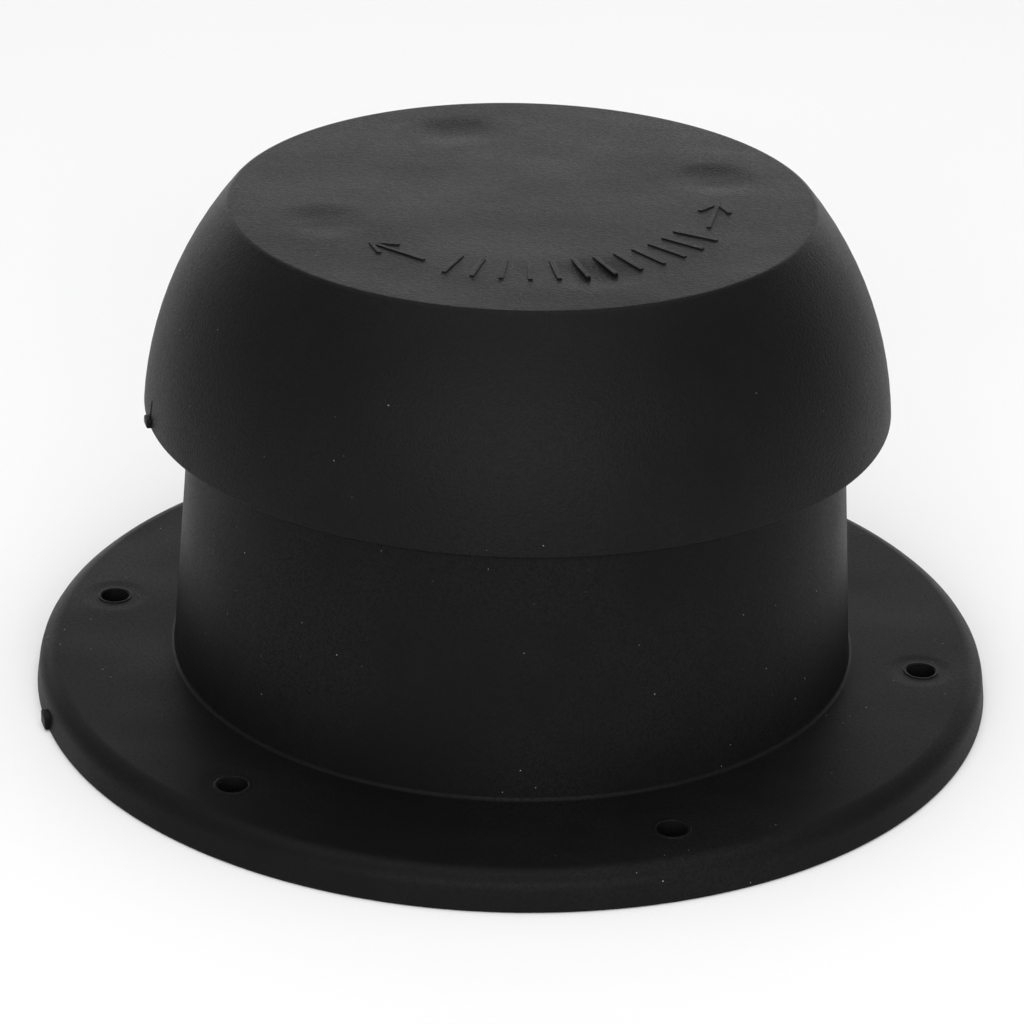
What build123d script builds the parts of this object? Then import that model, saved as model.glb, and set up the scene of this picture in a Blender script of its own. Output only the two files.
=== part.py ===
from build123d import *
import os
from math import cos, pi, radians, sin, sqrt, tan

# A roof vent cover: a flanged base that stands over a vent pipe, and a domed rain cap that a tension
# spring holds down on it. Millimetres, +Z up, origin on the roof at the middle of the flange.

# Vent pipe and the neck that takes it
PIPE_DIAMETER = 60.3
PIPE_CLEARANCE = 0.45
PIPE_LEDGE = 3.15
SOCKET_DEPTH = 34.0
SOCKET_LEAD_IN = 0.8
NECK_WALL = 2.4
THROAT_LIP_RADIUS = 0.8

# Collar, from the flange up to the deck that carries the cap
COLLAR_DIAMETER = 104.6
COLLAR_DRAFT = 4.2
COLLAR_WALL = 2.4
DECK_HEIGHT = 50.0
DECK_THICKNESS = 2.4
COLLAR_FOOT_RADIUS = 0.6
COLLAR_TOP_RADIUS = 2.0
WEB_COUNT = 4
WEB_THICKNESS = 2.0
WEB_ANGLE = 45.0

# Flange with its screw holes
FLANGE_WIDTH = 21.2
FLANGE_THICKNESS = 5.8
FLANGE_SKIN = 2.4
FLANGE_EDGE_RADIUS = 3.0
FLANGE_EDGE_DRAFT = 0.8
LIP_WIDTH = 2.6
SCREW_COUNT = 6
SCREW_HOLE_DIAMETER = 4.4
SCREW_EDGE_DISTANCE = 10.0
SCREW_ANGLE = -8.5
SCREW_PAD_RADIUS = 5.0
HOLE_RIM_WIDTH = 0.35
HOLE_RIM_HEIGHT = 0.15

# Foam gasket in the hollow underside of the flange
GASKET_GAP = 0.4
GASKET_WIDTH = 16.0
GASKET_LIFT = 0.3

# Rain cap
CAP_OVERLAP = 4.0
CAP_DEPTH = 31.6
CAP_SHOULDER = 12.7
CAP_BULGE = 2.69
CAP_WALL = 2.0
CAP_TOP_THICKNESS = 2.4
CAP_EDGE_RADIUS = 1.0
CAP_RIM_RADIUS = 0.5
VENT_GAP = 4.85

# Four legs under the cap, and the stops between their feet
LEG_COUNT = 4
LEG_ANGLE = 20.0
LEG_INSET = 4.0
LEG_SIZE = 12.0
LEG_WEB = 2.0
SEAT_CLEARANCE = 0.3
TAB_WIDTH = 1.8
TAB_DEPTH = 6.0
TAB_CLEARANCE = 0.3
STOP_THICKNESS = 2.4
STOP_HEIGHT = 6.0
STOP_SETBACK = 1.6
SINK_RADIUS = 5.5
SINK_DEPTH = 0.25

# Raised marks on the cap: an arrow each way with a row of plain ticks between
MARK_RADIUS = 28.3
MARK_HEIGHT = 0.3
MARK_STROKE = 0.7
MARK_ROOT = 0.5
TICK_COUNT = 12
TICK_LENGTH = 7.0
TICK_START = -110.0
TICK_SPAN = 82.0
ARROW_ANGLES = (-128.5, -10.0)
ARROW_LENGTH = 10.0
ARROW_HEAD = 4.2
ARROW_SPREAD = 32.0

# Crossbar, tension spring, and the screw that holds the spring in the cap's boss
CROSSBAR_DIAMETER = 3.0
CROSSBAR_HEIGHT = 38.0
CROSSBAR_PRESS = 0.02
WIRE_DIAMETER = 1.2
COIL_DIAMETER = 12.2
COIL_TURNS = 14
HOOK_RADIUS = 4.2
RING_RADIUS = 2.75
SPIRAL_STEPS = 4
SPRING_CLEARANCE = 0.3
BOSS_DIAMETER = 12.0
BOSS_LENGTH = 8.0
BOSS_CHAMFER = 0.6
SCREW_MAJOR = 4.0
SCREW_ROOT = 3.0
SCREW_BITE = 6.0
SCREW_PITCH = 1.4
SCREW_TIP = 1.5
HEAD_DIAMETER = 7.6
HEAD_HEIGHT = 2.4
HEAD_EDGE_RADIUS = 0.9
RECESS_WIDTH = 1.0
RECESS_SPAN = 4.0
RECESS_DEPTH = 1.3
PILOT_DEPTH = 8.2
WASHER_DIAMETER = 7.4
WASHER_HOLE = 4.2
WASHER_THICKNESS = 1.0

# Gate vestiges left on the two mouldings' edges
GATE_WIDTH = 3.0
GATE_PROUD = 0.7
FLANGE_GATE_ANGLE = 198.6
FLANGE_GATE_HEIGHT = 2.4
CAP_GATE_ANGLE = 195.4
CAP_GATE_HEIGHT = 1.8

# Sizes that follow from the ones above
socket_radius = PIPE_DIAMETER / 2 + PIPE_CLEARANCE
neck_radius = socket_radius + NECK_WALL
throat_radius = PIPE_DIAMETER / 2 - PIPE_LEDGE
throat_outer_radius = throat_radius + NECK_WALL
ledge_top = SOCKET_DEPTH + NECK_WALL
deck_underside = DECK_HEIGHT - DECK_THICKNESS
flange_radius = COLLAR_DIAMETER / 2 + FLANGE_WIDTH
flange_underside = FLANGE_THICKNESS - FLANGE_SKIN
lip_inner_radius = flange_radius - LIP_WIDTH
screw_circle_radius = flange_radius - SCREW_EDGE_DISTANCE
screw_hole_radius = SCREW_HOLE_DIAMETER / 2
rim_height = DECK_HEIGHT - CAP_OVERLAP
cap_top = rim_height + CAP_DEPTH
cap_ceiling = cap_top - CAP_TOP_THICKNESS
seat_height = DECK_HEIGHT + SEAT_CLEARANCE
leg_circle_radius = throat_radius + LEG_INSET
boss_bottom = cap_ceiling - BOSS_LENGTH
wire_radius = WIRE_DIAMETER / 2
coil_radius = COIL_DIAMETER / 2 - wire_radius
crossbar_radius = CROSSBAR_DIAMETER / 2
hook_bottom = CROSSBAR_HEIGHT - crossbar_radius - SPRING_CLEARANCE - wire_radius
hook_centre = hook_bottom + HOOK_RADIUS
ring_height = boss_bottom - SPRING_CLEARANCE - wire_radius
coil_bottom = hook_centre + HOOK_RADIUS + 1.3 * WIRE_DIAMETER
coil_top = ring_height - 0.2 * WIRE_DIAMETER
washer_top = ring_height - wire_radius - SPRING_CLEARANCE
washer_bottom = washer_top - WASHER_THICKNESS
head_bottom = washer_bottom - HEAD_HEIGHT


def collar_radius(height):
    """Outer radius of the tapered collar at a height above the roof."""
    return COLLAR_DIAMETER / 2 - (height - FLANGE_THICKNESS) * tan(radians(COLLAR_DRAFT))


rim_radius = collar_radius(rim_height) + VENT_GAP + CAP_WALL
top_radius = rim_radius - CAP_SHOULDER

# The cap's side is one arc from the rim to the top edge
side_chord = sqrt(CAP_SHOULDER**2 + CAP_DEPTH**2)
side_arc_radius = (side_chord**2 / 4 + CAP_BULGE**2) / (2 * CAP_BULGE)
arc_offset = (side_arc_radius - CAP_BULGE) / side_chord
arc_centre_radius = (rim_radius + top_radius) / 2 - CAP_DEPTH * arc_offset
arc_centre_height = (rim_height + cap_top) / 2 - CAP_SHOULDER * arc_offset


def dome_radius(height, inset):
    """Radius of the cap's side at a height, inset from its outer face."""
    rise = height - arc_centre_height
    return arc_centre_radius + sqrt((side_arc_radius - inset) ** 2 - rise**2)


def radial_plane(angle):
    """Upright plane through the vent's axis: its x points outwards at the angle, its y points up."""
    turn = radians(angle)
    return Plane(origin=(0, 0, 0), x_dir=(cos(turn), sin(turn), 0), z_dir=(sin(turn), -cos(turn), 0))


def dome_section(inset, bottom, top):
    """Half section of the dome between two heights, inset from its outer face."""
    middle = (bottom + top) / 2
    with BuildLine() as outline:
        Polyline((dome_radius(bottom, inset), bottom), (0, bottom), (0, top), (dome_radius(top, inset), top))
        ThreePointArc(
            (dome_radius(top, inset), top),
            (dome_radius(middle, inset), middle),
            (dome_radius(bottom, inset), bottom),
        )
    return make_face(outline.edges(), mode=Mode.PRIVATE)


def edges_at(part, height, smallest, largest):
    """Circular edges of a part at a height, with a radius between two values."""
    circles = part.edges().filter_by(GeomType.CIRCLE)
    level = circles.filter_by_position(Axis.Z, height - 0.01, height + 0.01)
    return level.filter_by(lambda edge: smallest < edge.radius < largest)


os.makedirs("parts", exist_ok=True)

# Base moulding: flange, collar, deck and neck in one shell, with webs below and stops on the deck
with BuildPart() as base_moulding:
    with BuildSketch(Plane.XZ):
        with BuildLine():
            Polyline(
                (socket_radius, 0),
                (neck_radius, 0),
                (neck_radius, ledge_top),
                (throat_outer_radius, ledge_top),
                (throat_outer_radius, deck_underside),
                (collar_radius(deck_underside) - COLLAR_WALL, deck_underside),
                (collar_radius(flange_underside) - COLLAR_WALL, flange_underside),
                (lip_inner_radius, flange_underside),
                (lip_inner_radius, 0),
                (flange_radius, 0),
                (flange_radius - FLANGE_EDGE_DRAFT, FLANGE_THICKNESS),
                (collar_radius(FLANGE_THICKNESS), FLANGE_THICKNESS),
                (collar_radius(DECK_HEIGHT), DECK_HEIGHT),
                (throat_radius, DECK_HEIGHT),
                (throat_radius, SOCKET_DEPTH),
                (socket_radius, SOCKET_DEPTH),
                close=True,
            )
        make_face()
    revolve(axis=Axis.Z)
    flange_edge = edges_at(base_moulding, FLANGE_THICKNESS, flange_radius - 2, flange_radius + 1)
    fillet(flange_edge, FLANGE_EDGE_RADIUS)
    collar_foot_radius = collar_radius(FLANGE_THICKNESS)
    collar_foot = edges_at(base_moulding, FLANGE_THICKNESS, collar_foot_radius - 1, collar_foot_radius + 1)
    fillet(collar_foot, COLLAR_FOOT_RADIUS)
    fillet(edges_at(base_moulding, DECK_HEIGHT, leg_circle_radius, flange_radius), COLLAR_TOP_RADIUS)
    fillet(edges_at(base_moulding, DECK_HEIGHT, 0, leg_circle_radius), THROAT_LIP_RADIUS)
    chamfer(edges_at(base_moulding, 0, 0, socket_radius + 0.1), SOCKET_LEAD_IN)
    # radial webs between the neck and the collar
    for web in range(WEB_COUNT):
        with BuildSketch(radial_plane(WEB_ANGLE + web * 360 / WEB_COUNT)):
            with BuildLine():
                Polyline(
                    (neck_radius - NECK_WALL / 2, flange_underside),
                    (collar_radius(flange_underside) - COLLAR_WALL / 2, flange_underside),
                    (collar_radius(deck_underside) - COLLAR_WALL / 2, deck_underside + DECK_THICKNESS / 2),
                    (throat_outer_radius - NECK_WALL / 2, deck_underside + DECK_THICKNESS / 2),
                    (throat_outer_radius - NECK_WALL / 2, ledge_top - NECK_WALL / 2),
                    (neck_radius - NECK_WALL / 2, ledge_top - NECK_WALL / 2),
                    close=True,
                )
            make_face()
        extrude(amount=WEB_THICKNESS / 2, both=True)
    # turning stops for the cap's feet, midway between them
    stop_angle = LEG_ANGLE + 180 / LEG_COUNT
    with BuildSketch(Plane.XY.offset(deck_underside)):
        with PolarLocations(leg_circle_radius + STOP_SETBACK, LEG_COUNT, start_angle=stop_angle):
            Rectangle(LEG_SIZE - 2 * STOP_SETBACK, STOP_THICKNESS)
    extrude(amount=DECK_THICKNESS + STOP_HEIGHT)
    # screw pads under the flange, raised rims over it, and the holes through both
    with BuildSketch(Plane.XY):
        with PolarLocations(screw_circle_radius, SCREW_COUNT, start_angle=SCREW_ANGLE):
            Circle(SCREW_PAD_RADIUS)
    extrude(amount=flange_underside + FLANGE_SKIN / 2)
    with BuildSketch(Plane.XY.offset(flange_underside)):
        with PolarLocations(screw_circle_radius, SCREW_COUNT, start_angle=SCREW_ANGLE):
            Circle(screw_hole_radius + HOLE_RIM_WIDTH)
    extrude(amount=FLANGE_SKIN + HOLE_RIM_HEIGHT)
    with PolarLocations(screw_circle_radius, SCREW_COUNT, start_angle=SCREW_ANGLE):
        Hole(screw_hole_radius)
    # seats for the crossbar in the throat's wall
    with BuildSketch(Plane.YZ):
        with Locations((0, CROSSBAR_HEIGHT)):
            Circle(crossbar_radius - CROSSBAR_PRESS)
    extrude(amount=throat_outer_radius + NECK_WALL, both=True, mode=Mode.SUBTRACT)
    # gate vestige on the flange's edge
    with BuildSketch(radial_plane(FLANGE_GATE_ANGLE)):
        with Locations((flange_radius, FLANGE_GATE_HEIGHT / 2)):
            Rectangle(2 * GATE_PROUD, FLANGE_GATE_HEIGHT)
    extrude(amount=GATE_WIDTH / 2, both=True)
base_moulding.part.label = "base_moulding"
export_step(base_moulding.part, "parts/base_moulding.step")

# Foam gasket, glued up inside the flange's lip and cut out round the screw pads
with BuildPart() as flange_gasket:
    with BuildSketch(Plane.XY.offset(GASKET_LIFT)):
        Circle(lip_inner_radius - GASKET_GAP)
        Circle(lip_inner_radius - GASKET_GAP - GASKET_WIDTH, mode=Mode.SUBTRACT)
        with PolarLocations(screw_circle_radius, SCREW_COUNT, start_angle=SCREW_ANGLE):
            Circle(SCREW_PAD_RADIUS + GASKET_GAP, mode=Mode.SUBTRACT)
    extrude(amount=flange_underside - GASKET_LIFT)
flange_gasket.part.label = "flange_gasket"
export_step(flange_gasket.part, "parts/flange_gasket.step")

# Crossbar, pressed through the throat
with BuildPart() as spring_crossbar:
    with BuildSketch(Plane.YZ):
        with Locations((0, CROSSBAR_HEIGHT)):
            Circle(crossbar_radius)
    extrude(amount=throat_outer_radius, both=True)
spring_crossbar.part.label = "spring_crossbar"
export_step(spring_crossbar.part, "parts/spring_crossbar.step")

# Tension spring: a hook round the crossbar, the coil, and a small ring round the cap's screw
with BuildPart() as tether_spring:
    with BuildLine() as spring_wire:
        coil = Helix((coil_top - coil_bottom) / COIL_TURNS, coil_top - coil_bottom, coil_radius,
                     center=(0, 0, coil_bottom))
        ring_start = (-RING_RADIUS, 0, ring_height)
        spiral = []
        for step in range(1, SPIRAL_STEPS):
            share = step / SPIRAL_STEPS
            reach = coil_radius + share * (RING_RADIUS - coil_radius)
            rise = coil_top + share * (ring_height - coil_top)
            spiral.append((reach * cos(share * pi), reach * sin(share * pi), rise))
        Spline(coil @ 1, *spiral, ring_start, tangents=(coil % 1, (0, -1, 0)))
        ThreePointArc(ring_start, (0, -RING_RADIUS, ring_height), (RING_RADIUS, 0, ring_height))
        ThreePointArc((RING_RADIUS, 0, ring_height), (RING_RADIUS * sin(radians(45)),
                      RING_RADIUS * cos(radians(45)), ring_height), (0, RING_RADIUS, ring_height))
        hook_start = (0, -HOOK_RADIUS, hook_centre)
        Spline(hook_start, coil @ 0, tangents=((0, 0, 1), coil % 0))
        ThreePointArc((0, HOOK_RADIUS, hook_centre), (0, 0, hook_bottom), hook_start)
    with BuildSketch(Plane(origin=spring_wire.wire() @ 0, z_dir=spring_wire.wire() % 0)):
        Circle(wire_radius)
    sweep(path=spring_wire.wire())
tether_spring.part.label = "tether_spring"
export_step(tether_spring.part, "parts/tether_spring.step")

# Cap screw: pan head with a cross recess, and a coarse thread that bites the boss
with BuildPart() as spring_screw:
    thread_count = int(SCREW_BITE / SCREW_PITCH)
    thread_start = boss_bottom + SCREW_BITE - thread_count * SCREW_PITCH
    shank_top = boss_bottom + SCREW_BITE
    thread = []
    for turn in range(thread_count):
        thread.append((SCREW_ROOT / 2, thread_start + turn * SCREW_PITCH))
        thread.append((SCREW_MAJOR / 2, thread_start + (turn + 0.5) * SCREW_PITCH))
    with BuildSketch(Plane.XZ):
        with BuildLine():
            Polyline(
                (0, head_bottom),
                (HEAD_DIAMETER / 2, head_bottom),
                (HEAD_DIAMETER / 2, washer_bottom),
                (SCREW_ROOT / 2, washer_bottom),
                *thread,
                (SCREW_ROOT / 2, shank_top),
                (0, shank_top + SCREW_TIP),
                close=True,
            )
        make_face()
    revolve(axis=Axis.Z)
    fillet(edges_at(spring_screw, head_bottom, 0, HEAD_DIAMETER), HEAD_EDGE_RADIUS)
    with BuildSketch(Plane.XY.offset(head_bottom)):
        Rectangle(RECESS_SPAN, RECESS_WIDTH)
        Rectangle(RECESS_WIDTH, RECESS_SPAN)
    extrude(amount=RECESS_DEPTH, mode=Mode.SUBTRACT)
spring_screw.part.label = "spring_screw"
export_step(spring_screw.part, "parts/spring_screw.step")

# Washer between the screw's head and the spring's ring
with BuildPart() as spring_washer:
    with BuildSketch(Plane.XY.offset(washer_bottom)):
        Circle(WASHER_DIAMETER / 2)
        Circle(WASHER_HOLE / 2, mode=Mode.SUBTRACT)
    extrude(amount=WASHER_THICKNESS)
spring_washer.part.label = "spring_washer"
export_step(spring_washer.part, "parts/spring_washer.step")

# Space inside the cap, from which the four cross-shaped legs and the centre boss are left standing
with BuildPart() as cap_hollow:
    with BuildSketch(Plane.XZ):
        add(dome_section(CAP_WALL, rim_height, cap_ceiling))
    revolve(axis=Axis.Z)
    with BuildSketch(Plane.XY.offset(seat_height)):
        with PolarLocations(leg_circle_radius, LEG_COUNT, start_angle=LEG_ANGLE):
            Rectangle(LEG_SIZE, LEG_WEB)
            Rectangle(LEG_WEB, LEG_SIZE)
    extrude(amount=cap_top - seat_height, mode=Mode.SUBTRACT)
    with BuildSketch(Plane.XY.offset(boss_bottom)):
        Circle(BOSS_DIAMETER / 2)
    extrude(amount=BOSS_LENGTH, mode=Mode.SUBTRACT)

# Cap moulding: domed skirt and flat top
with BuildPart() as cap_moulding:
    with BuildSketch(Plane.XZ):
        add(dome_section(0, rim_height, cap_top))
    revolve(axis=Axis.Z)
    fillet(edges_at(cap_moulding, cap_top, 0, rim_radius), CAP_EDGE_RADIUS)
    add(cap_hollow.part, mode=Mode.SUBTRACT)
    fillet(edges_at(cap_moulding, rim_height, rim_radius - CAP_WALL - 1, rim_radius + 1), CAP_RIM_RADIUS)
    chamfer(edges_at(cap_moulding, boss_bottom, 0, BOSS_DIAMETER), BOSS_CHAMFER)
    # locating tabs that reach down inside the throat
    with BuildSketch(Plane.XY.offset(seat_height + LEG_WEB)):
        tab_circle_radius = throat_radius - TAB_CLEARANCE - TAB_WIDTH / 2
        with PolarLocations(tab_circle_radius, LEG_COUNT, start_angle=LEG_ANGLE):
            Rectangle(TAB_WIDTH, LEG_WEB)
    extrude(amount=-(TAB_DEPTH + SEAT_CLEARANCE + LEG_WEB))
    # pilot hole for the spring's screw
    with BuildSketch(Plane.XY.offset(boss_bottom)):
        Circle(SCREW_ROOT / 2)
    extrude(amount=PILOT_DEPTH, mode=Mode.SUBTRACT)
    # shallow sinks over the legs
    sink_sphere = (SINK_RADIUS**2 + SINK_DEPTH**2) / (2 * SINK_DEPTH)
    with PolarLocations(leg_circle_radius, LEG_COUNT, start_angle=LEG_ANGLE):
        with Locations((0, 0, cap_top + sink_sphere - SINK_DEPTH)):
            Sphere(sink_sphere, mode=Mode.SUBTRACT)
    # raised arrows and ticks
    with BuildSketch(Plane.XY.offset(cap_top - MARK_ROOT)):
        with PolarLocations(MARK_RADIUS, TICK_COUNT, start_angle=TICK_START, angular_range=TICK_SPAN,
                            endpoint=True):
            Rectangle(TICK_LENGTH, MARK_STROKE)
        for arrow, heading in zip(ARROW_ANGLES, (-1, 1)):
            with PolarLocations(MARK_RADIUS, 1, start_angle=arrow):
                Rectangle(MARK_STROKE, ARROW_LENGTH)
                with Locations((0, heading * ARROW_LENGTH / 2)):
                    for spread in (-ARROW_SPREAD, ARROW_SPREAD):
                        with Locations(Rotation(0, 0, spread)):
                            with Locations((0, -heading * ARROW_HEAD / 2)):
                                Rectangle(MARK_STROKE, ARROW_HEAD)
    extrude(amount=MARK_ROOT + MARK_HEIGHT)
    # gate vestige on the rim
    with BuildSketch(radial_plane(CAP_GATE_ANGLE)):
        with Locations((rim_radius, rim_height + CAP_GATE_HEIGHT / 2)):
            Rectangle(2 * GATE_PROUD, CAP_GATE_HEIGHT)
    extrude(amount=GATE_WIDTH / 2, both=True)
cap_moulding.part.label = "cap_moulding"
export_step(cap_moulding.part, "parts/cap_moulding.step")
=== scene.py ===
import math

import bmesh
import bpy
from mathutils import Matrix, Vector


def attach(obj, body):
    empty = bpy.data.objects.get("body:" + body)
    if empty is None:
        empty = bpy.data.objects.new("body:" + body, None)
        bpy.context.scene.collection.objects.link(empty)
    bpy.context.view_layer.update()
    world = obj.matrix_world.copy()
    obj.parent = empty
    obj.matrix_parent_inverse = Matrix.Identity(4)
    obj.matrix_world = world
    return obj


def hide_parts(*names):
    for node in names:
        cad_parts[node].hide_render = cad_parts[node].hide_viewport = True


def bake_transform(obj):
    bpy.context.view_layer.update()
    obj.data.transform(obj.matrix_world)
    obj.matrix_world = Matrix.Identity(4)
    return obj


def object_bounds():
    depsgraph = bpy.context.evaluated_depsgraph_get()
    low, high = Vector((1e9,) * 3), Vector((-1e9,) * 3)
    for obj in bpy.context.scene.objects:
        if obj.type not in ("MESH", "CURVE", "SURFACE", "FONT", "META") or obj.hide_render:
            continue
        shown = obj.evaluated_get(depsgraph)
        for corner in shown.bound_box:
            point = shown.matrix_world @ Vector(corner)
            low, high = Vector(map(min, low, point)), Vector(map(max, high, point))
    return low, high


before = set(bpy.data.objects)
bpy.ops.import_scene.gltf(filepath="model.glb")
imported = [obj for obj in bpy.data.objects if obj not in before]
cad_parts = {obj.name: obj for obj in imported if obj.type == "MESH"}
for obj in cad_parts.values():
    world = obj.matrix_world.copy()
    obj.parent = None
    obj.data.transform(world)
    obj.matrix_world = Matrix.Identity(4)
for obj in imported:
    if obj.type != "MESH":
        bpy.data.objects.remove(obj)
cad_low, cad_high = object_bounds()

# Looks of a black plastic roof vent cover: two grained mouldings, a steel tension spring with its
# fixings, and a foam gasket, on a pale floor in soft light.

MM = 0.001

# ---------------------------------------------------------------- sizes, in millimetres
ROUND_STEPS = 256
ARC_STEPS = 5

SOCKET_RADIUS = 30.6
SOCKET_DEPTH = 34.0
NECK_WALL = 2.4
NECK_RADIUS = SOCKET_RADIUS + NECK_WALL
THROAT_RADIUS = 27.0
LEDGE_TOP = SOCKET_DEPTH + NECK_WALL
COLLAR_RADIUS = 52.3
COLLAR_DRAFT = math.radians(4.2)
COLLAR_WALL = 2.4
DECK_HEIGHT = 50.0
DECK_UNDERSIDE = 47.6
FLANGE_TOP = 5.8
FLANGE_UNDERSIDE = 3.4
FLANGE_RADIUS = cad_high.x / MM
FLANGE_EDGE_DRAFT = 0.8
FLANGE_EDGE = 3.0
LIP_RADIUS = FLANGE_RADIUS - 2.6
SCREW_CIRCLE = FLANGE_RADIUS - 10.0
SCREW_ANGLE = math.radians(-8.5)
SCREW_COUNT = 6
HOLE_RADIUS = 2.2
PAD_RADIUS = 5.0
DISH_INNER = 3.2
DISH_OUTER = 5.6
BEAD_RADIUS = 0.3
BEAD_HEIGHT = 0.15
WEB_COUNT = 4
WEB_HALF = 1.0
WEB_ANGLE = math.radians(45)
WEB_STEP = 3.6
SUNK = 1.2
STOP_INNER = 28.2
STOP_OUTER = 37.0
STOP_HALF = 1.2
STOP_HEIGHT = 6.0
STOP_ANGLE = math.radians(65)
BASE_GATE_ANGLE = math.radians(198.6)

CAP_RIM_HEIGHT = 46.0
CAP_TOP = 77.6
CAP_CEILING = 75.2
CAP_WALL = 2.0
CAP_SHOULDER = 12.7
CAP_BULGE = 2.69
VENT_GAP = 4.85
CAP_EDGE = 1.0
CAP_SIDE_STEPS = 12
CAP_TOP_STEPS = 34
CAP_GATE_ANGLE = math.radians(195.4)
FLASH_ANGLE = math.radians(195.6)
FLASH_BOTTOM = 47.2
FLASH_TOP = 50.4
FLASH_HALF = 0.25
GATE_SIZE = 0.6

LEG_COUNT = 4
LEG_ANGLE = math.radians(20)
LEG_CIRCLE = 31.0
LEG_SIZE = 12.0
LEG_WEB = 2.0
SEAT_HEIGHT = 50.3
TAB_CIRCLE = 25.8
TAB_WIDTH = 1.8
TAB_HALF = 0.95
TAB_BOTTOM = 44.0
SINK_CORE = 1.6
SINK_REACH = 6.5
SINK_DEPTH = 0.32
BOSS_RADIUS = 6.0
BOSS_BOTTOM = 67.2

MARK_RADIUS = 28.3
MARK_HALF = 0.35
MARK_LOW = CAP_TOP - 0.5
MARK_HIGH = CAP_TOP + 0.16
TICK_COUNT = 12
TICK_HALF = 3.5
TICK_START = -110
TICK_SPAN = 82
ARROW_HALF = 5.0
BARB_LENGTH = 4.2
BARB_SPREAD = 32

GASKET_WIDTH = 16.0
GASKET_GAP = 0.4
GASKET_LIFT = 0.3

CROSSBAR_RADIUS = 1.5
CROSSBAR_HEIGHT = 38.0
WIRE_RADIUS = 0.6
WIRE_FLATTENING = 0.5
COIL_RADIUS = 5.5
COIL_TURNS = 14
HOOK_RADIUS = 4.2
HOOK_CENTRE = 39.8
COIL_BOTTOM = 45.56
COIL_TOP = 66.06
RING_RADIUS = 2.75
RING_HEIGHT = 66.3
HEAD_BOTTOM = 62.0
HEAD_RADIUS = 3.8
RECESS_REACH = 2.0
RECESS_HALF = 0.5
RECESS_DEPTH = 1.3
THREAD_ROOT = 1.5
THREAD_CREST = 2.0
THREAD_START = 67.6
THREAD_PITCH = 1.4
THREAD_TURNS = 4
SHANK_TOP = 73.2
TIP_HEIGHT = 74.7
WASHER_BOTTOM = 64.4
WASHER_THICKNESS = 1.0
WASHER_HOLE = 2.1
WASHER_RADIUS = 3.7


def collar_radius(height):
    """Outer radius of the tapered collar at a height."""
    return COLLAR_RADIUS - (height - FLANGE_TOP) * math.tan(COLLAR_DRAFT)


RIM_RADIUS = collar_radius(CAP_RIM_HEIGHT) + VENT_GAP + CAP_WALL
TOP_RADIUS = RIM_RADIUS - CAP_SHOULDER


def dome_radius(height, inset):
    """Radius of the cap's arched side at a height, inset from its outer face."""
    rise = CAP_TOP - CAP_RIM_HEIGHT
    chord = math.hypot(CAP_SHOULDER, rise)
    arc = (chord**2 / 4 + CAP_BULGE**2) / (2 * CAP_BULGE)
    back = (arc - CAP_BULGE) / chord
    centre_radius = (RIM_RADIUS + TOP_RADIUS) / 2 - rise * back
    centre_height = (CAP_RIM_HEIGHT + CAP_TOP) / 2 - CAP_SHOULDER * back
    return centre_radius + math.sqrt((arc - inset) ** 2 - (height - centre_height) ** 2)


# ---------------------------------------------------------------- modelling helpers
def only(piece):
    """Selects one piece and makes it the active one."""
    bpy.ops.object.select_all(action="DESELECT")
    piece.select_set(True)
    bpy.context.view_layer.objects.active = piece


def new_piece(name):
    """Names the primitive that was just added and settles its place into its mesh."""
    piece = bpy.context.active_object
    piece.name = piece.data.name = name
    bpy.ops.object.transform_apply(location=True, rotation=True, scale=True)
    return piece


def pick_vertices(piece, test):
    """In edit mode, selects the vertices whose place passes a test."""
    bpy.ops.mesh.select_mode(type="VERT")
    bpy.ops.mesh.select_all(action="DESELECT")
    mesh = bmesh.from_edit_mesh(piece.data)
    for vertex in mesh.verts:
        vertex.select_set(test(vertex.co))
    bmesh.update_edit_mesh(piece.data)


def pick_faces(piece, test):
    """In edit mode, selects the faces whose centre and normal pass a test."""
    bpy.ops.mesh.select_mode(type="FACE")
    bpy.ops.mesh.select_all(action="DESELECT")
    mesh = bmesh.from_edit_mesh(piece.data)
    for face in mesh.faces:
        face.select_set(test(face.calc_center_median(), face.normal))
    bmesh.update_edit_mesh(piece.data)


def rounded(corners, closed):
    """Points (radius, height) of an outline given as (radius, height, rounding) corners."""
    points = []
    last = len(corners) - 1
    for index, (radius, height, rounding) in enumerate(corners):
        here = Vector((radius, height))
        if not rounding or (not closed and index in (0, last)):
            points.append(here)
            continue
        back = (Vector(corners[index - 1][:2]) - here).normalized()
        ahead = (Vector(corners[(index + 1) % len(corners)][:2]) - here).normalized()
        half = back.angle(ahead) / 2
        reach = rounding / math.tan(half)
        centre = here + (back + ahead).normalized() * rounding / math.sin(half)
        first = here + back * reach - centre
        final = here + ahead * reach - centre
        start = math.atan2(first.y, first.x)
        sweep = math.remainder(math.atan2(final.y, final.x) - start, math.tau)
        for step in range(ARC_STEPS + 1):
            angle = start + sweep * step / ARC_STEPS
            points.append(centre + rounding * Vector((math.cos(angle), math.sin(angle))))
    return points


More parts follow.
